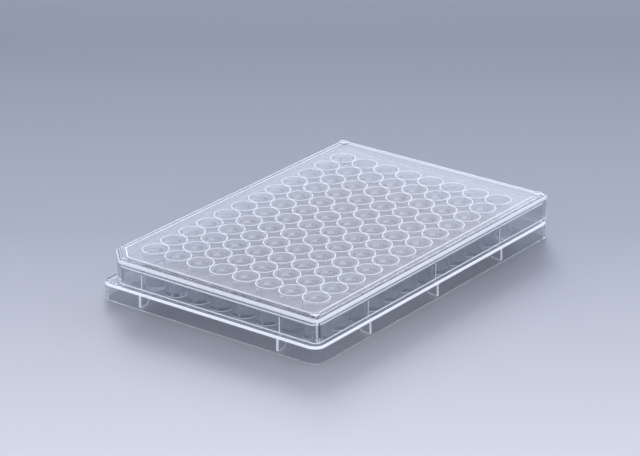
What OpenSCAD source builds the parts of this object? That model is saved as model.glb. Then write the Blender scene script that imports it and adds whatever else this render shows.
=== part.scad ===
// 96-well microplate with its lid on: two one-piece mouldings in clear polystyrene.
// Millimetres. The plate stands on z = 0 with the middle of its footprint at the origin,
// the twelve columns run along X and well A1 is the corner at -X, +Y, where both pieces are cut.

/* [Footprint] */
// length of the foot along X
foot_l = 127.76; // [120:0.01:135]
// width of the foot along Y
foot_w = 85.48; // [80:0.01:95]
// radius of the foot's corners
foot_r = 3.8; // [2:0.1:6]
// height of the ledge on top of the foot
ledge_z = 6; // [4:0.1:7]
// thickness of the ledge
ledge_t = 1.2; // [0.8:0.1:2]
// wall of the foot
foot_wall = 1.1; // [0.8:0.1:1.6]
// draft of the foot's outer face, inwards over its height
foot_draft = 0.2; // [0:0.05:0.5]

/* [Body] */
// height of the plate, floor to well rims
plate_h = 14.35; // [12:0.05:20]
// step in from the foot to the body wall
body_step = 1.65; // [1.2:0.05:3]
// wall of the body
body_wall = 1.1; // [0.8:0.1:1.6]
// radius of the body's corners
body_r = 2.4; // [1.6:0.1:4]
// legs of the cut at corner A1
a1_cut = 6.5; // [4:0.1:9]
// radius of the plate's outer edges, on the ledge and on the deck
edge_r = 0.5; // [0.2:0.05:0.7]
// thickness of the deck that carries the wells
deck_t = 1; // [0.8:0.1:2]
// drop from the well rims to the deck
rim_h = 1.6; // [0.6:0.1:2.4]

/* [Wells] */
// wells along X
columns = 12; // [2:1:12]
// wells along Y
rows = 8; // [2:1:8]
// distance between well centres
pitch = 9; // [8.8:0.1:9.4]
// bore under the flared mouth
well_d = 6.86; // [6:0.02:7]
// bore at the floor
floor_d = 6.35; // [5.5:0.05:6.6]
// bore at the rim
mouth_d = 8.2; // [7.4:0.05:8.3]
// height of the flare below the rim
flare_h = 1.1; // [0.5:0.1:2]
// depth of a well
well_depth = 10.9; // [8:0.1:11.4]
// thickness of a well's floor
floor_t = 1.25; // [0.8:0.05:2]
// outside of a rim
rim_d = 8.8; // [8.4:0.05:8.9]
// outside of a tube at its bottom
tube_d = 7.5; // [7:0.05:8]

/* [Ribs] */
// thickness of a rib
rib_t = 0.9; // [0.6:0.1:1.4]
// rib positions from the middle of a long side, in pitches
rib_step = 4; // [2:1:5]
// rib positions from the middle of a short side, in pitches
rib_side = 3; // [1:1:3]
// clearance under a rib at the foot
rib_foot = 0.6; // [0.2:0.1:2]
// further rise of a rib's lower edge at the wells
rib_rise = 2.6; // [1:0.1:4]
// length of a rib's level toe
toe_l = 3.4; // [1:0.1:4]
// length of the slope behind the toe
slope_l = 1.6; // [0.5:0.1:3]

/* [Lid] */
// clearance between the ledge and the lid's lower edge
skirt_gap = 0.8; // [0.2:0.05:3]
// wall of the lid's skirt
lid_wall = 1; // [0.7:0.05:1.4]
// thickness of the lid's top
lid_t = 0.8; // [0.6:0.05:1.2]
// clearance between the lid's skirt and the body
lid_fit = 0.25; // [0.15:0.05:0.6]
// radius of the lid's corners
lid_r = 1.8; // [1.5:0.1:3]
// radius of the shoulder where the lid's top meets its skirt
shoulder_r = 1.3; // [0.4:0.05:1.6]
// height of the stacking rail
rail_h = 0.2; // [0.1:0.05:0.6]
// width of the stacking rail
rail_w = 1.4; // [1:0.1:2.5]
// step in from the lid's outer face to the rail
rail_step = 1.4; // [1:0.1:2]
// radius of the rail's corners
rail_r = 0.6; // [0.3:0.1:2]
// radius of a corner pad
pad_r = 1.5; // [1:0.1:2]
// height of a corner pad
pad_h = 0.4; // [0.2:0.05:0.8]

/* [Hidden] */
$fn = 48;
eps = 0.2;                                   // how deep joined forms run into each other
foot = [foot_l, foot_w] / 2;
body = foot - [body_step, body_step];
ledge_under = ledge_z - ledge_t;
deck_z = plate_h - rim_h;
deck_under = deck_z - deck_t;
tube_z = plate_h - well_depth - floor_t;     // underside of the tubes
lid = body + [lid_fit + lid_wall, lid_fit + lid_wall];
lid_top = plate_h + lid_t;
lid_z = ledge_z + skirt_gap;                 // lower edge of the lid
lid_cut = inset_cut(a1_cut, -lid_fit - lid_wall);
first = [(columns - 1) * pitch, (rows - 1) * pitch] / 2;   // well centres run from -first to first

// Distance from the origin to the cut across the corner of an outline of half size h.
function cut_at(h, cut) = (h.x + h.y - cut) / sqrt(2);

// The cut that keeps its face parallel when an outline moves in by d.
function inset_cut(cut, d) = cut - (2 - sqrt(2)) * d;

// Rectangle of half size h with corners of radius r and, with a cut, one corner cut at 45 degrees.
module outline(h, r, cut = 0) {
    c = h - [r, r];
    intersection() {
        union() {
            square([2 * h.x, 2 * c.y], center = true);
            square([2 * c.x, 2 * h.y], center = true);
            for (x = [-c.x, c.x], y = [-c.y, c.y]) translate([x, y]) circle(r);
        }
        if (cut > 0)
            rotate(135) translate([-2 * h.x, -2 * h.x]) square([2 * h.x + cut_at(h, cut), 4 * h.x]);
    }
}

module inset_outline(h, r, d, cut = 0) {
    outline(h - [d, d], r - d, cut > 0 ? inset_cut(cut, d) : 0);
}

// Sweeps the profile in children() round a rectangle. The profile's x runs out from the corner centres.
module sweep(h, r) {
    c = h - [r, r];
    for (side = [[c.x, c.y, 0, c.x], [-c.x, c.y, 90, c.y], [-c.x, -c.y, 180, c.x], [c.x, -c.y, 270, c.y]])
        translate([side[0], side[1]]) rotate(side[2]) {
            rotate_extrude(angle = 90) children();
            rotate(90) translate([0, 2 * side[3], 0]) rotate([90, 0, 0])
                linear_extrude(2 * side[3]) children();
        }
}

// A wall's profile between x0 and x1 and between z0 and z1, with a round outer top edge of radius e.
module edge_profile(x0, x1, z0, z1, e) {
    translate([x0, z0]) square([x1 - x0, z1 - z0 - e]);
    translate([x0, z0]) square([x1 - x0 - e, z1 - z0]);
    intersection() {
        translate([x1 - e, z1 - e]) circle(e);
        translate([x0, z0]) square([x1 - x0, z1 - z0]);
    }
}

// A solid box with a round top edge of radius e. Its corner at A1 is cut along the profile in
// children(), whose x runs out from the middle of the box.
module block(h, r, z0, z1, e) {
    intersection() {
        union() {
            sweep(h, r) edge_profile(0, r, z0, z1, e);
            translate([r - h.x, r - h.y, z0]) cube([2 * (h.x - r), 2 * (h.y - r), z1 - z0]);
        }
        rotate(135) translate([0, 2 * h.x, 0]) rotate([90, 0, 0]) linear_extrude(4 * h.x) children();
    }
}

// What is taken out of a block to leave a wall, from below z0 up to the underside of its top.
module hollow(h, r, cut, wall, z0, under) {
    translate([0, 0, z0 - eps]) linear_extrude(under - z0 + eps) inset_outline(h, r, wall, cut);
}

module at_wells() {
    for (x = [-first.x : pitch : first.x], y = [-first.y : pitch : first.y])
        translate([x, y, 0]) children();
}

// Drafted wall that stands on the table, and the ledge across it.
module foot_skirt() {
    face = foot_r - foot_draft;
    sweep(foot, foot_r) {
        polygon([[foot_r - foot_wall, 0], [foot_r, 0], [face, ledge_z - edge_r],
                 [foot_r - foot_wall, ledge_z - edge_r]]);
        edge_profile(foot_r - foot_wall, face, ledge_under, ledge_z, edge_r);
    }
    translate([0, 0, ledge_under]) linear_extrude(ledge_t)
        inset_outline(foot, foot_r, foot_wall - eps);
}

// Foot and body in one stepped shell that is open below, with the deck across its top.
module stepped_shell() {
    difference() {
        union() {
            foot_skirt();
            block(body, body_r, ledge_z - eps, deck_z, edge_r)
                translate([-2 * body.x, 0]) square([2 * body.x + cut_at(body, a1_cut), plate_h]);
        }
        hollow(body, body_r, a1_cut, body_wall, ledge_under, deck_under);
    }
}

// One rib, standing on the inner face of the foot at x = 0 and running along +X to the wells.
module rib(reach) {
    wall_in = body_step + body_wall - foot_wall;
    translate([0, rib_t / 2, 0]) rotate([90, 0, 0]) linear_extrude(rib_t) polygon([
        [-eps, rib_foot], [toe_l, rib_foot], [toe_l + slope_l, rib_foot + rib_rise],
        [reach, rib_foot + rib_rise], [reach, deck_under + eps], [wall_in - eps, deck_under + eps],
        [wall_in - eps, ledge_under + eps], [-eps, ledge_under + eps]]);
}

module ribs() {
    side = foot - [foot_wall, foot_wall];
    for (s = [-1, 1]) {
        for (k = [-1 : 1]) translate([k * rib_step * pitch, s * side.y, 0])
            rotate(-90 * s) rib(side.y - first.y);
        for (k = [-1, 1]) translate([s * side.x, k * rib_side * pitch, 0])
            rotate(90 + 90 * s) rib(side.x - first.x);
    }
}

module well_plate() {
    color([0.86, 0.9, 0.95, 0.35]) difference() {
        union() {
            stepped_shell();
            ribs();
            at_wells() translate([0, 0, tube_z])
                cylinder(h = plate_h - tube_z, d1 = tube_d, d2 = rim_d);
        }
        at_wells() rotate_extrude() polygon([
            [0, plate_h - well_depth], [floor_d / 2, plate_h - well_depth],
            [well_d / 2, plate_h - flare_h], [mouth_d / 2, plate_h], [mouth_d / 2, plate_h + eps],
            [0, plate_h + eps]]);
    }
}

// Low rail round the top, which a stacked plate's foot stands inside, and a pad at each square corner.
module stacking_rail() {
    translate([0, 0, lid_top - eps]) {
        linear_extrude(rail_h + eps) difference() {
            inset_outline(lid, rail_step + rail_r, rail_step, lid_cut);
            inset_outline(lid, rail_step + rail_w + rail_r, rail_step + rail_w, lid_cut);
        }
        pad = lid - [1, 1] * (rail_step + rail_w);
        for (s = [[1, 1], [1, -1], [-1, -1]])
            translate([s.x * pad.x, s.y * pad.y, 0]) cylinder(h = pad_h + eps, r = pad_r);
    }
}

module lid() {
    color([0.9, 0.93, 0.97, 0.25]) {
        difference() {
            block(lid, lid_r, lid_z, lid_top, shoulder_r)
                edge_profile(-2 * lid.x, cut_at(lid, lid_cut), lid_z, lid_top, shoulder_r);
            hollow(lid, lid_r, lid_cut, lid_wall, lid_z, plate_h);
        }
        stacking_rail();
    }
}

well_plate();
lid();
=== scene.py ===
from math import pi, sin, cos, tan, radians, sqrt, acos

import bmesh
import bpy
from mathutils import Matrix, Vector


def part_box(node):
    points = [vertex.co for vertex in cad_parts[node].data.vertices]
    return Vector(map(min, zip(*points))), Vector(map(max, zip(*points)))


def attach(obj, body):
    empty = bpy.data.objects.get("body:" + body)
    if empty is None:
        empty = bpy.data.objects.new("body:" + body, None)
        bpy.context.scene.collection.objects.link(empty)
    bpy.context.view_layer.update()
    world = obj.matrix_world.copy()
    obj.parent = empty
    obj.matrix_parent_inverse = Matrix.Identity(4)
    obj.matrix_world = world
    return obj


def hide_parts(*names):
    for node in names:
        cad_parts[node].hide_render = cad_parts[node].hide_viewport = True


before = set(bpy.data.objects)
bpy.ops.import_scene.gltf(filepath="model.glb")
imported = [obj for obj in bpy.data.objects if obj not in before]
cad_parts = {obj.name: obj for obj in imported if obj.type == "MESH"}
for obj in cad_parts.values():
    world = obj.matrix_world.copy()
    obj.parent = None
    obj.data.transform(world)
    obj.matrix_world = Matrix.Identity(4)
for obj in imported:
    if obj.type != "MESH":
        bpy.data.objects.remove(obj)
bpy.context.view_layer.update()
mm = 0.001
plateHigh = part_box("well_plate")[1]
lidLow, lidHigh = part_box("lid")
scene = bpy.context.scene


# camera

cameraValues = {
    "place": (-0.7371, -0.5478, 0.3927),
    "looks": (0.7398, 0.5540, -0.3818),
    "lens": 174.25,
    "reach": 50,
}


def addCamera(values):
    data = bpy.data.cameras.new("camera")
    data.lens = values["lens"]
    data.clip_end = values["reach"]
    camera = bpy.data.objects.new("camera", data)
    scene.collection.objects.link(camera)
    camera.location = values["place"]
    camera.rotation_euler = Vector(values["looks"]).to_track_quat("-Z", "Y").to_euler()
    scene.camera = camera


addCamera(cameraValues)
print("camera set")


# shader maths

class Wire:
    def __init__(self, tree, socket):
        self.tree = tree
        self.socket = socket

    def __add__(self, other): return self.tree.math("ADD", self, other)
    def __radd__(self, other): return self.tree.math("ADD", other, self)
    def __sub__(self, other): return self.tree.math("SUBTRACT", self, other)
    def __rsub__(self, other): return self.tree.math("SUBTRACT", other, self)
    def __mul__(self, other): return self.tree.math("MULTIPLY", self, other)
    def __rmul__(self, other): return self.tree.math("MULTIPLY", other, self)
    def __truediv__(self, other): return self.tree.math("DIVIDE", self, other)


class MaterialTree:
    def __init__(self, name, owner=None):
        self.material = owner or bpy.data.materials.new(name)
        self.material.use_nodes = True
        self.nodes = self.material.node_tree.nodes
        self.links = self.material.node_tree.links
        self.nodes.clear()

    def add(self, kind, settings=None, *values, out=0, **named):
        node = self.nodes.new(kind)
        for key, value in (settings or {}).items():
            if key == "stops":
                for index, (place, colour) in enumerate(value):
                    stop = node.color_ramp.elements[index] if index < 2 else node.color_ramp.elements.new(place)
                    stop.position, stop.color = place, (*colour, 1)
            else:
                setattr(node, key, value)
        for key, value in [*enumerate(values), *named.items()]:
            socket = self.socketOf(node, key)
            if isinstance(value, Wire):
                self.links.new(value.socket, socket)
            else:
                socket.default_value = value
        return Wire(self, node.outputs[out]) if node.outputs else None

    def math(self, kind, *values):
        return self.add("ShaderNodeMath", {"operation": kind}, *values)

    def socketOf(self, node, key):
        if isinstance(key, int):
            return node.inputs[key]
        name = key.replace("_", " ")
        return next(socket for socket in node.inputs if socket.name == name and socket.enabled)

    def ramp(self, value, start, end):
        return self.add("ShaderNodeMapRange", {"interpolation_type": "SMOOTHSTEP"}, value, start, end, 0.0, 1.0)

    def window(self, value, rise, fall):
        return self.ramp(value, *rise) * (1 - self.ramp(value, *fall))

    def facing(self, way, axis, edge):
        along = self.add("ShaderNodeVectorMath", {"operation": "DOT_PRODUCT"}, way, axis, out="Value")
        return self.ramp(along, *edge)

    def seeThrough(self, shadowRay, values):
        # what stands in for the plastic in shadow rays and in sight lines with too many bends
        colour = self.add("ShaderNodeMix", {"data_type": "RGBA"}, out=2, Factor=shadowRay,
                          A=(*values["through"], 1), B=(*values["shadow"], 1))
        return self.add("ShaderNodeBsdfTransparent", None, Color=colour)

    def finish(self, shader, output="ShaderNodeOutputMaterial"):
        self.add(output, None, shader)
        return self.material


# outlines and profiles, in millimetres

cornerTurn = 6


def outlineLoop(half, radius, cut, height, turn=cornerTurn):
    # anticlockwise from +X +Y, 2 * turn points a corner, so that any two loops join point to point
    points = []
    for signX, signY, start in ((1, 1, 0), (-1, 1, 90), (-1, -1, 180), (1, -1, 270)):
        for index in range(2 * turn):
            if cut and (signX, signY) == (-1, 1):
                angle = start + 45 * (index - index // turn) / (turn - 1)
                reach = cut + radius * tan(radians(22.5))
                centre = (reach - half[0], half[1] - radius) if index < turn else (
                    radius - half[0], half[1] - reach)
            else:
                angle = start + 90 * index / (2 * turn - 1)
                centre = (signX * (half[0] - radius), signY * (half[1] - radius))
            points.append((centre[0] + radius * cos(radians(angle)),
                           centre[1] + radius * sin(radians(angle)), height))
    return points


def movedCut(cut, out):
    # the cut that stays parallel when its outline moves out
    return cut + (2 - sqrt(2)) * out


def softened(profile, steps=4):
    # rounds each (x, z, radius, glint, outline) corner of a profile and returns (x, z, finish, outline)
    # points, the finish being a material index where 1 and 2 are painted highlights; glint is None or (finish of
    # the flat before the corner, share of the rounding that takes the painted highlight) and may end with the
    # finish the rounding takes, which is 1 unless it says otherwise
    points = []
    for index, (x, z, radius, *rest) in enumerate(profile):
        flat, share, *kind = (rest[0] if rest else None) or (0, 0)
        glint = kind[0] if kind else 1
        outline = rest[1] if len(rest) > 1 else ""
        if not radius or index in (0, len(profile) - 1):
            points.append((x, z, flat, outline))
            continue
        here = Vector((x, z))
        back = (Vector(profile[index - 1][:2]) - here).normalized()
        ahead = (Vector(profile[index + 1][:2]) - here).normalized()
        half = acos(max(-1, min(1, back.dot(ahead)))) / 2
        centre = here + (back + ahead).normalized() * radius / sin(half)
        first = here + back * radius / tan(half) - centre
        last = here + ahead * radius / tan(half) - centre
        sweep = pi - 2 * half
        for step in range(steps + 1):
            along = step / steps
            arm = (first * sin((1 - along) * sweep) + last * sin(along * sweep)) / sin(sweep)
            points.append((*(centre + arm), flat if step == 0 else glint * (along <= share), outline))
    return points


def meshFrom(name, build, materials=()):
    mesh = bpy.data.meshes.new(name)
    for material in materials:
        mesh.materials.append(material)
    bm = bmesh.new()
    build(bm)
    bmesh.ops.scale(bm, vec=(mm, mm, mm), verts=bm.verts)
    bmesh.ops.recalc_face_normals(bm, faces=bm.faces)
    bm.to_mesh(mesh)
    bm.free()
    piece = bpy.data.objects.new(name, mesh)
    scene.collection.objects.link(piece)
    return piece


def loftInto(bm, loops, stripMaterials, edgeColumns=(), edgeRows=()):
    # each loop's entry is the material of the strip that ends at it, materials 1 and 2 being painted highlights;
    # in the rows named, the columns named take the painted highlight of material 1 as well
    rows = [[bm.verts.new(point) for point in loop] for loop in loops]
    for row in range(1, len(rows)):
        low, high = rows[row - 1], rows[row]
        for index in range(len(low)):
            face = bm.faces.new((low[index - 1], low[index], high[index], high[index - 1]))
            face.material_index = stripMaterials[row]
            if row in edgeRows and index in edgeColumns:
                face.material_index = 1
    bm.faces.new(rows[0])
    bm.faces.new(rows[-1])


def ringLoop(centre, radius, height, segments):
    return [(centre[0] + radius * cos(2 * pi * k / segments),
             centre[1] + radius * sin(2 * pi * k / segments), height) for k in range(segments)]


def revolveInto(bm, centres, profile, segments):
    stripMaterials = [point[2] if len(point) > 2 else 0 for point in profile]
    for centre in centres:
        loftInto(bm, [ringLoop(centre, point[0], point[1], segments) for point in profile], stripMaterials)


def combine(target, tool, operation):
    change = target.modifiers.new(operation.lower(), "BOOLEAN")
    change.operation, change.solver, change.object = operation, "MANIFOLD", tool
    graph = bpy.context.evaluated_depsgraph_get()
    joined = bpy.data.meshes.new_from_object(target.evaluated_get(graph))
    target.modifiers.clear()
    target.data = joined
    bpy.data.objects.remove(tool)


def finishShape(piece, sharpAngle=34, weight=80):
    piece.data.polygons.foreach_set("use_smooth", [True] * len(piece.data.polygons))
    piece.data.set_sharp_from_angle(angle=radians(sharpAngle))
    weighted = piece.modifiers.new("weightedNormals", "WEIGHTED_NORMAL")
    weighted.keep_sharp = True
    weighted.weight = weight


# clear polystyrene, and the painted highlights on its rounded edges

def clearPlastic(name, values):
    tree = MaterialTree(name)
    place = tree.add("ShaderNodeTexCoord", out="Object")
    flow = tree.add("ShaderNodeTexNoise", {"noise_dimensions": "3D"}, Vector=place,
                    Scale=values["flowScale"], Detail=values["flowDetail"], Roughness=values["flowGrain"])
    haze = tree.add("ShaderNodeTexNoise", {"noise_dimensions": "3D"}, Vector=place,
                    Scale=values["hazeScale"], Detail=values["hazeDetail"], Roughness=values["hazeGrain"])
    roughness = values["roughness"] + (haze - 0.5) * values["hazeSpread"]
    normal = tree.add("ShaderNodeBump", None, Strength=values["flowStrength"],
                      Distance=values["flowDepth"], Height=flow)
    plastic = tree.add("ShaderNodeBsdfPrincipled", None, Base_Color=(*values["colour"], 1),
                       Roughness=roughness, IOR=values["ior"], Transmission_Weight=values["clarity"],
                       Normal=normal)
    shadowRay = tree.add("ShaderNodeLightPath", out="Is Shadow Ray")
    clear = tree.seeThrough(shadowRay, values)
    rayDepth = tree.add("ShaderNodeLightPath", out="Ray Depth")
    glossDepth = tree.add("ShaderNodeLightPath", out="Glossy Depth")
    spent = tree.math("MAXIMUM", tree.math("GREATER_THAN", rayDepth, values["bends"]),
                      tree.math("GREATER_THAN", glossDepth, values["mirrorings"]))
    passes = tree.math("MAXIMUM", shadowRay, spent)
    return tree.finish(tree.add("ShaderNodeMixShader", None, passes, plastic, clear))


plasticValues = {
    "colour": (0.978, 0.985, 0.997),
    "shadow": (0.69, 0.70, 0.73),
    "through": (0.93, 0.945, 0.965),
    "bends": 7.5,
    "mirrorings": 3.5,
    "ior": 1.57,
    "clarity": 0.96,
    "roughness": 0.016,
    "hazeScale": 240,
    "hazeDetail": 4.0,
    "hazeGrain": 0.6,
    "hazeSpread": 0.024,
    "flowScale": 90,
    "flowDetail": 2.0,
    "flowGrain": 0.5,
    "flowStrength": 0.12,
    "flowDepth": 0.00025,
}
# painted highlights: a pale colour that glows, put on rounded edges and on the rib ends
paintedGlintValues = {
    "colour": (0.75, 0.78, 0.84),
    "shadow": (0.69, 0.70, 0.73),
    "through": (0.93, 0.95, 0.98),
    "clarity": 0.15,
    "roughness": 0.3,
    "hazeDetail": 3.0,
    "hazeGrain": 0.6,
    "hazeSpread": 0.1,
    "glow": 0.55,
    "bends": 5.5,
    "passes": 3.5,
    "innerLoss": 0.6,
}


def paintedGlintEdge(name, values):
    # painted highlight for the rounded edges of a moulding: a pale colour that also glows, standing in for the
    # light that runs inside it
    tree = MaterialTree(name)
    place = tree.add("ShaderNodeTexCoord", out="Object")
    haze = tree.add("ShaderNodeTexNoise", {"noise_dimensions": "3D"}, Vector=place,
                    Scale=plasticValues["hazeScale"], Detail=values["hazeDetail"], Roughness=values["hazeGrain"])
    edge = tree.add("ShaderNodeBsdfPrincipled", None, Base_Color=(*values["colour"], 1),
                    Roughness=values["roughness"] + (haze - 0.5) * values["hazeSpread"],
                    IOR=plasticValues["ior"],
                    Transmission_Weight=values["clarity"], Emission_Color=(*values["colour"], 1),
                    Emission_Strength=values["glow"])
    shadowRay = tree.add("ShaderNodeLightPath", out="Is Shadow Ray")
    clear = tree.seeThrough(shadowRay, values)
    rayDepth = tree.add("ShaderNodeLightPath", out="Ray Depth")
    inside = tree.add("ShaderNodeLightPath", out="Transmission Depth")
    passes = tree.math("MAXIMUM", shadowRay, tree.math("GREATER_THAN", rayDepth, values["bends"]))
    passes = tree.math("MAXIMUM", passes, tree.math("GREATER_THAN", inside, values["passes"]))
    # an odd count of bends means that the line runs inside the plastic
    passes = tree.math("MAXIMUM", passes, tree.math("MODULO", inside, 2.0) * values["innerLoss"])
    return tree.finish(tree.add("ShaderNodeMixShader", None, passes, edge, clear))


cupPaintedGlintValues = dict(paintedGlintValues, glow=0.5, passes=6.5, innerLoss=0.9)
# material 0 is the clear plastic; the plate's materials 1 and 2 and the lid's material 1 are painted highlights
plateMaterialsWithPaintedGlints = [clearPlastic("platePolystyrene", plasticValues), paintedGlintEdge("platePaintedGlints", paintedGlintValues),
                 paintedGlintEdge("cupPaintedGlints", cupPaintedGlintValues)]
lidPlasticValues = dict(plasticValues, shadow=(0.93, 0.94, 0.96), clarity=0.985)
lidPaintedGlintValues = dict(paintedGlintValues, glow=0.34, innerLoss=0.88)
lidMaterialsWithPaintedGlints = [clearPlastic("lidPolystyrene", lidPlasticValues), paintedGlintEdge("lidPaintedGlints", lidPaintedGlintValues)]
print("plastics mixed")


# the plate: stepped shell, ribs and 96 cups

plateValues = {
    "footRadius": 3.8,
    "footWall": 1.1,
    "footDraft": 0.2,
    "ledgeTop": 6.0,
    "ledgeThickness": 1.2,
    "ledgeLip": 4.95,
    "bodyStep": 1.65,
    "bodyWall": 1.1,
    "bodyRadius": 2.4,
    "leastRadius": 0.3,
    "cut": 6.5,
    "deckDrop": 1.6,
    "deckThickness": 1.0,
    "edge": 0.5,
    "ledgeRoot": 0.3,
    "footEdge": 0.25,
    "innerEdge": 0.2,
    "underDeckFillet": 0.4,
    "underLedgeFillet": 0.3,
    "overrun": 3,
    "columns": 12,
    "rows": 8,
    "pitch": 9.0,
    "wellDepth": 10.9,
    "floorThickness": 1.25,
    "rimGap": 0.02,
    "segments": 32,
}


def steppedShell(values, half, top):
    body = [h - values["bodyStep"] for h in half]
    deck = top - values["deckDrop"]
    deckUnder = deck - values["deckThickness"]
    ledge, under = values["ledgeTop"], values["ledgeTop"] - values["ledgeThickness"]
    wall, out = values["bodyWall"], values["bodyStep"]
    inner, draft = out - values["footWall"], values["footDraft"]
    lip, edge, innerEdge, overrun = values["ledgeLip"], values["edge"], values["innerEdge"], values["overrun"]
    # the corners with a glint carry painted highlights: the foot's lower edge, the ledge's lip and edge, and the
    # deck's edge
    profile = [(-wall - overrun, deckUnder, 0, None, "body"),
               (-wall, deckUnder, values["underDeckFillet"], None, "body"),
               (-wall, under, innerEdge, None, "body"),
               (inner, under, values["underLedgeFillet"], None, "foot"),
               (inner, 0, innerEdge, None, "foot"), (out, 0, values["footEdge"], (0, 0.5), "foot"),
               (out - draft * lip / ledge, lip, 0, None, "foot"),
               (out - draft, ledge, edge, (1, 0.5), "foot"),
               (0, ledge, values["ledgeRoot"], None, "body"), (0, deck, edge, (0, 0.5), "body"),
               (-overrun, deck, 0, None, "body")]
    loops, stripMaterials = [], []
    for x, z, finish, outline in softened(profile):
        stripMaterials.append(finish)
        if outline == "foot":
            reach = [h - out + x for h in half]
            loops.append(outlineLoop(reach, values["footRadius"] - out + x, 0, z))
        else:
            reach = [h + x for h in body]
            radius = max(values["leastRadius"], values["bodyRadius"] + x)
            loops.append(outlineLoop(reach, radius, movedCut(values["cut"], x), z))
    return meshFrom("wellPlate", lambda bm: loftInto(bm, loops, stripMaterials), plateMaterialsWithPaintedGlints)


cupValues = {
    "axis": 1.0,
    "tubeBottom": 3.75,
    "bottomEdge": 0.35,
    "tubeTop": 4.1,
    "collarDrop": 0.7,
    "collar": 4.46,
    "collarSlope": 0.06,
    "collarLip": 0.01,
    "rimRoot": 4.3,
    "rimRootLift": 0.02,
    "rimFillet": 0.12,
    "rimOut": 4.4,
    "rimOutEdge": 0.1,
    "rimIn": 4.12,
    "rimInEdge": 0.15,
    "boreTop": 3.43,
    "flareHeight": 1.1,
    "flareRounding": 0.8,
    "boreFloor": 3.175,
    "floorFillet": 0.45,
    "roundingSteps": 3,
    "deckHole": 3.8,
    "boreCut": 3.3,
    "boreCutDrop": 0.4,
    "overcut": 1,
}


def cupProfile(values, top):
    low, floor = top - values["wellDepth"] - values["floorThickness"], top - values["wellDepth"]
    deck = top - values["deckDrop"]
    crest = top - values["rimGap"]
    cup = cupValues
    # the cup's bottom rounding takes the cup's painted highlight (material 2), the rim's crest the plate's
    # (material 1)
    return softened([
        (cup["axis"], low, 0), (cup["tubeBottom"], low, cup["bottomEdge"], (0, 1, 2)),
        (cup["tubeTop"], deck - cup["collarDrop"], 0), (cup["collar"], deck - cup["collarSlope"], 0),
        (cup["collar"], deck + cup["collarLip"], 0),
        (cup["rimRoot"], deck + cup["rimRootLift"], cup["rimFillet"]),
        (cup["rimOut"], crest, cup["rimOutEdge"], (0, 1)), (cup["rimIn"], crest, cup["rimInEdge"], (1, 1)),
        (cup["boreTop"], top - cup["flareHeight"], cup["flareRounding"]),
        (cup["boreFloor"], floor, cup["floorFillet"]), (cup["axis"], floor, 0)], cup["roundingSteps"])


def wellCentres(values):
    spanX, spanY = (values["columns"] - 1) / 2, (values["rows"] - 1) / 2
    return [((i - spanX) * values["pitch"], (j - spanY) * values["pitch"])
            for i in range(values["columns"]) for j in range(values["rows"])]


ribValues = {
    "thickness": 0.9,
    "alongX": (-36.0, 0.0, 36.0),
    "alongY": (-27.0, 27.0),
    "footGap": 0.6,
    "rise": 2.6,
    "toe": 3.4,
    "slope": 1.6,
    "sink": 0.3,
    "edge": 0.16,
    "hairline": 0.04,
}


def ribInto(bm, values, root, direction, reach, wallIn, heights):
    # a rib stops a hairline short of both walls, so that its end faces, which carry painted highlights, show as
    # light lines; each (run, height, finish) point carries the finish of the face that ends at it, where 1 and 2
    # are painted highlights
    ledgeUnder, deckUnder = heights
    gap, toe, slope, start = values["footGap"], values["toe"], values["slope"], values["hairline"]
    rise, ledge, deck = gap + values["rise"], ledgeUnder + values["sink"], deckUnder + values["sink"]
    outline = [(start, gap, 1), (toe, gap, 1), (toe + slope, rise, 1), (reach, rise, 0), (reach, deck, 0),
               (wallIn + start, deck, 0), (wallIn + start, ledge, 2), (start, ledge, 0)]
    side = Vector((-direction[1], direction[0], 0)) * values["thickness"] / 2
    faces = []
    for sign in (-1, 1):
        face = [Vector((root[0] + direction[0] * s, root[1] + direction[1] * s, z)) for s, z, finish in outline]
        faces.append([bm.verts.new(point + side * sign) for point in face])
    made = [bm.faces.new(faces[0]), bm.faces.new(faces[1])]
    for index, (s, z, finish) in enumerate(outline):
        made.append(bm.faces.new((faces[0][index - 1], faces[0][index], faces[1][index], faces[1][index - 1])))
        made[-1].material_index = finish
    edges = list({edge for face in made for edge in face.edges})
    bmesh.ops.recalc_face_normals(bm, faces=made)
    # the rib's bevels take the painted highlight as well
    bmesh.ops.bevel(bm, geom=edges, offset=values["edge"], segments=2, profile=0.5, affect="EDGES", material=1)


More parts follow.
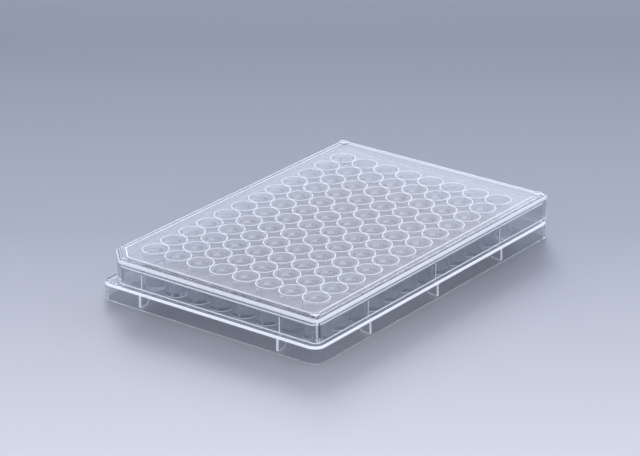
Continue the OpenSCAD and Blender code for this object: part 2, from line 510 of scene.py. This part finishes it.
def buildPlate():
    half = [plateHigh.x / mm, plateHigh.y / mm]
    top = plateHigh.z / mm
    values, cup = plateValues, cupValues
    centres = wellCentres(values)
    deck = top - values["deckDrop"]
    shell = steppedShell(values, half, top)
    holes = meshFrom("holes", lambda bm: revolveInto(
        bm, centres, [(cup["deckHole"], deck + cup["overcut"]),
                      (cup["deckHole"], deck - values["deckThickness"] - cup["overcut"])], values["segments"]))
    combine(shell, holes, "DIFFERENCE")
    deckUnder = deck - values["deckThickness"]
    ledgeUnder = values["ledgeTop"] - values["ledgeThickness"]
    footIn = [h - values["footWall"] for h in half]
    wallIn = values["bodyStep"] + values["bodyWall"] - values["footWall"]
    first = [(values["columns"] - 1) / 2 * values["pitch"], (values["rows"] - 1) / 2 * values["pitch"]]

    def allRibs(bm):
        for sign in (-1, 1):
            for x in ribValues["alongX"]:
                ribInto(bm, ribValues, (x, sign * footIn[1]), (0, -sign), footIn[1] - first[1], wallIn,
                        (ledgeUnder, deckUnder))
            for y in ribValues["alongY"]:
                ribInto(bm, ribValues, (sign * footIn[0], y), (-sign, 0), footIn[0] - first[0], wallIn,
                        (ledgeUnder, deckUnder))

    combine(shell, meshFrom("ribs", allRibs, plateMaterialsWithPaintedGlints), "UNION")
    cups = meshFrom("cups", lambda bm: revolveInto(bm, centres, cupProfile(values, top), values["segments"]),
                    plateMaterialsWithPaintedGlints)
    bores = meshFrom("bores", lambda bm: revolveInto(
        bm, centres, [(cup["boreCut"], top - values["wellDepth"] - cup["boreCutDrop"]),
                      (cup["boreCut"], top + cup["overcut"])], values["segments"]))
    combine(shell, bores, "DIFFERENCE")
    combine(shell, cups, "UNION")
    finishShape(shell)
    return shell


plate = buildPlate()
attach(plate, "root")
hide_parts("well_plate")
print("plate built", len(plate.data.polygons))


# the lid: skirted cover with a rail and corner pads

lidValues = {
    "wall": 1.0,
    "thickness": 0.8,
    "radius": 1.8,
    "leastRadius": 0.4,
    "fit": 0.25,
    "rimGap": 0.02,
    "overrun": 3,
    "innerFillet": 0.35,
    "lip": 0.2,
    "lipGlint": 0.5,
    "shoulder": 1.3,
    "shoulderGlint": 0.12,
    "roundingSteps": 8,
    "railHeight": 0.2,
    "railWidth": 1.4,
    "railStep": 1.4,
    "railRoot": 0.06,
    "railEdge": 0.1,
    "railLean": 0.08,
    "railInnerLean": 0.25,
    "railGlint": 0.33,
    "padRadius": 1.5,
    "padHeight": 0.4,
    "padEdge": 0.18,
    "padSink": 0.3,
    "padCore": 0.4,
    "padSegments": 32,
}


def buildLid():
    values = lidValues
    half = [lidHigh.x / mm, lidHigh.y / mm]
    top = lidHigh.z / mm - values["padHeight"]
    under, low = top - values["thickness"] + values["rimGap"], lidLow.z / mm
    wall, step, inside = values["wall"], values["railStep"], values["railStep"] + values["railWidth"]
    rail, lip, overrun = top + values["railHeight"], values["lip"], values["overrun"]
    root, edge, glintTop = values["railRoot"], values["railEdge"], low + values["lipGlint"]
    # the corners with a glint carry painted highlights: the lower edge of the skirt, the lower half of the
    # shoulder and a line just inside the rail
    profile = [(-wall - overrun, under, 0), (-wall, under, values["innerFillet"]), (-wall, low, lip),
               (0, low, lip, (1, 1)), (0, glintTop, 0, (1, 0)),
               (0, top - values["shoulder"] - values["shoulderGlint"], 0),
               (0, top, values["shoulder"], (1, 0.5)), (-step, top, root),
               (-step - values["railLean"], rail, edge), (-inside + values["railInnerLean"], rail, edge),
               (-inside, top, root), (-inside - values["railGlint"], top, 0, (1, 0)),
               (-inside - overrun, top, 0)]
    points = softened(profile, values["roundingSteps"])
    cut = movedCut(plateValues["cut"], values["fit"] + wall)
    loops = []
    for x, z, *rest in points:
        radius = max(values["leastRadius"], values["radius"] + x)
        loops.append(outlineLoop([h + x for h in half], radius, movedCut(cut, x), z))
    # the upright of the skirt carries a painted highlight down the middle of the three round corners
    upright = next(index for index, point in enumerate(points) if point[0] == 0 and point[1] > glintTop)
    middles = [(2 * corner + 1) * cornerTurn for corner in (0, 2, 3)]
    stripMaterials = [point[2] for point in points]
    lid = meshFrom("plateLid", lambda bm: loftInto(bm, loops, stripMaterials, middles, (upright,)), lidMaterialsWithPaintedGlints)
    place = [h - inside for h in half]
    corners = [(place[0], place[1]), (place[0], -place[1]), (-place[0], -place[1])]
    padTop = top + values["padHeight"]
    # the pads' rims carry the painted highlight
    pads = meshFrom("pads", lambda bm: revolveInto(bm, corners, softened(
        [(values["padRadius"], top - values["padSink"], 0),
         (values["padRadius"], padTop, values["padEdge"], (0, 1)),
         (values["padCore"], padTop, 0)]), values["padSegments"]), lidMaterialsWithPaintedGlints)
    combine(lid, pads, "UNION")
    finishShape(lid)
    return lid


lid = buildLid()
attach(lid, "root")
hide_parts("lid")
print("lid built", len(lid.data.polygons))


# floor, lamps and world

floorValues = {
    "size": 6.0,
    "stops": ((0.15, (0.595, 0.604, 0.617)), (0.55, (0.313, 0.328, 0.360)), (1, (0.170, 0.181, 0.213))),
    "nearReach": -0.20,
    "farReach": 0.22,
    "roughness": 0.45,
    "specular": 0.15,
    "squares": 8,
}


def addFloor(values):
    tree = MaterialTree("floorPaper")
    place = tree.add("ShaderNodeTexCoord", out="Object")
    toward = Vector(cameraValues["looks"]).to_2d().normalized()
    depth = tree.add("ShaderNodeVectorMath", {"operation": "DOT_PRODUCT"}, place, (*toward, 0), out="Value")
    share = (depth - values["nearReach"]) / (values["farReach"] - values["nearReach"])
    # painted falloff of light: the paper's colour runs from light near the camera to dark away from it
    colour = tree.add("ShaderNodeValToRGB", {"stops": values["stops"]}, share)
    paper = tree.add("ShaderNodeBsdfPrincipled", None, Base_Color=colour, Roughness=values["roughness"],
                     Specular_IOR_Level=values["specular"])
    material = tree.finish(paper)
    floor = meshFrom("floor", lambda bm: bmesh.ops.create_grid(
        bm, x_segments=values["squares"], y_segments=values["squares"], size=values["size"] / mm / 2))
    floor.data.materials.append(material)


addFloor(floorValues)

lampValues = {
    "backLamp": {"place": (1.115, 1.0, 0.59), "size": 0.45, "power": 25.0, "colour": (0.93, 0.97, 1.1)},
    "frontLamp": {"place": (-0.9, -0.7, 1.4), "size": 1.2, "power": 6.0, "colour": (0.95, 0.98, 1.08)},
}


def addLamp(name, values):
    # the lamps light the paper and the pale painted-highlight edges, and are mirrored nowhere
    data = bpy.data.lights.new(name, "AREA")
    data.shape, data.size = "SQUARE", values["size"]
    data.energy = values["power"]
    data.color = values["colour"]
    lamp = bpy.data.objects.new(name, data)
    scene.collection.objects.link(lamp)
    lamp.location = values["place"]
    lamp.rotation_euler = (-Vector(values["place"])).to_track_quat("-Z", "Y").to_euler()
    lamp.visible_glossy = False
    lamp.visible_transmission = False


for lampName, values in lampValues.items():
    addLamp(lampName, values)

worldValues = {
    "low": (0.36, 0.40, 0.49),
    "high": (0.40, 0.42, 0.48),
    "stripRise": (0.425, 0.47),
    "stripFall": (0.62, 0.70),
    "stripAxis": (0.72, 0.69, 0),
    "stripEdge": (0.66, 0.80),
    "stripLight": 3.4,
    "bandRise": (0.14, 0.34),
    "bandFall": (0.48, 0.62),
    "bandAxis": (0.985, -0.17, 0),
    "bandEdge": (0.35, 0.95),
    "bandRest": 0.3,
    "bandLight": 1.5,
    "bandDeep": 0.4,
    "tint": (0.95, 0.98, 1.13),
    "fade": (1.0, 3.0),
}


def addWorld(values):
    world = bpy.data.worlds.new("studio")
    world.use_nodes = True
    tree = MaterialTree(None, world)
    way = tree.add("ShaderNodeTexCoord", out="Generated")
    rise = tree.add("ShaderNodeSeparateXYZ", None, way, out="Z")
    sky = tree.add("ShaderNodeMix", {"data_type": "RGBA"}, out=2, Factor=rise, A=(*values["low"], 1),
                   B=(*values["high"], 1))
    # a long bright strip above a pale wall, both behind the table; light that has run on inside
    # the plastic shows the wall faintly and the strip not at all, and spent light shows neither
    passes = tree.add("ShaderNodeLightPath", out="Transmission Depth")
    fresh = 1 - tree.ramp(passes, *values["fade"])
    strip = tree.window(rise, values["stripRise"], values["stripFall"]) * tree.facing(
        way, values["stripAxis"], values["stripEdge"]) * fresh
    wall = values["bandRest"] + (1 - values["bandRest"]) * tree.facing(way, values["bandAxis"], values["bandEdge"])
    unspent = tree.math("LESS_THAN", tree.add("ShaderNodeLightPath", out="Ray Depth"), plasticValues["bends"])
    deep = values["bandDeep"] + (1 - values["bandDeep"]) * fresh
    band = tree.window(rise, values["bandRise"], values["bandFall"]) * wall * deep * unspent
    lamps = strip * values["stripLight"] + band * values["bandLight"]
    lit = tree.add("ShaderNodeVectorMath", {"operation": "SCALE"}, values["tint"], Scale=lamps)
    total = tree.add("ShaderNodeVectorMath", {"operation": "ADD"}, sky, lit)
    tree.finish(tree.add("ShaderNodeBackground", None, total, 1.0), "ShaderNodeOutputWorld")
    scene.world = world


addWorld(worldValues)
scene.view_settings.view_transform = "Standard"
print("floor, lamps and world set")
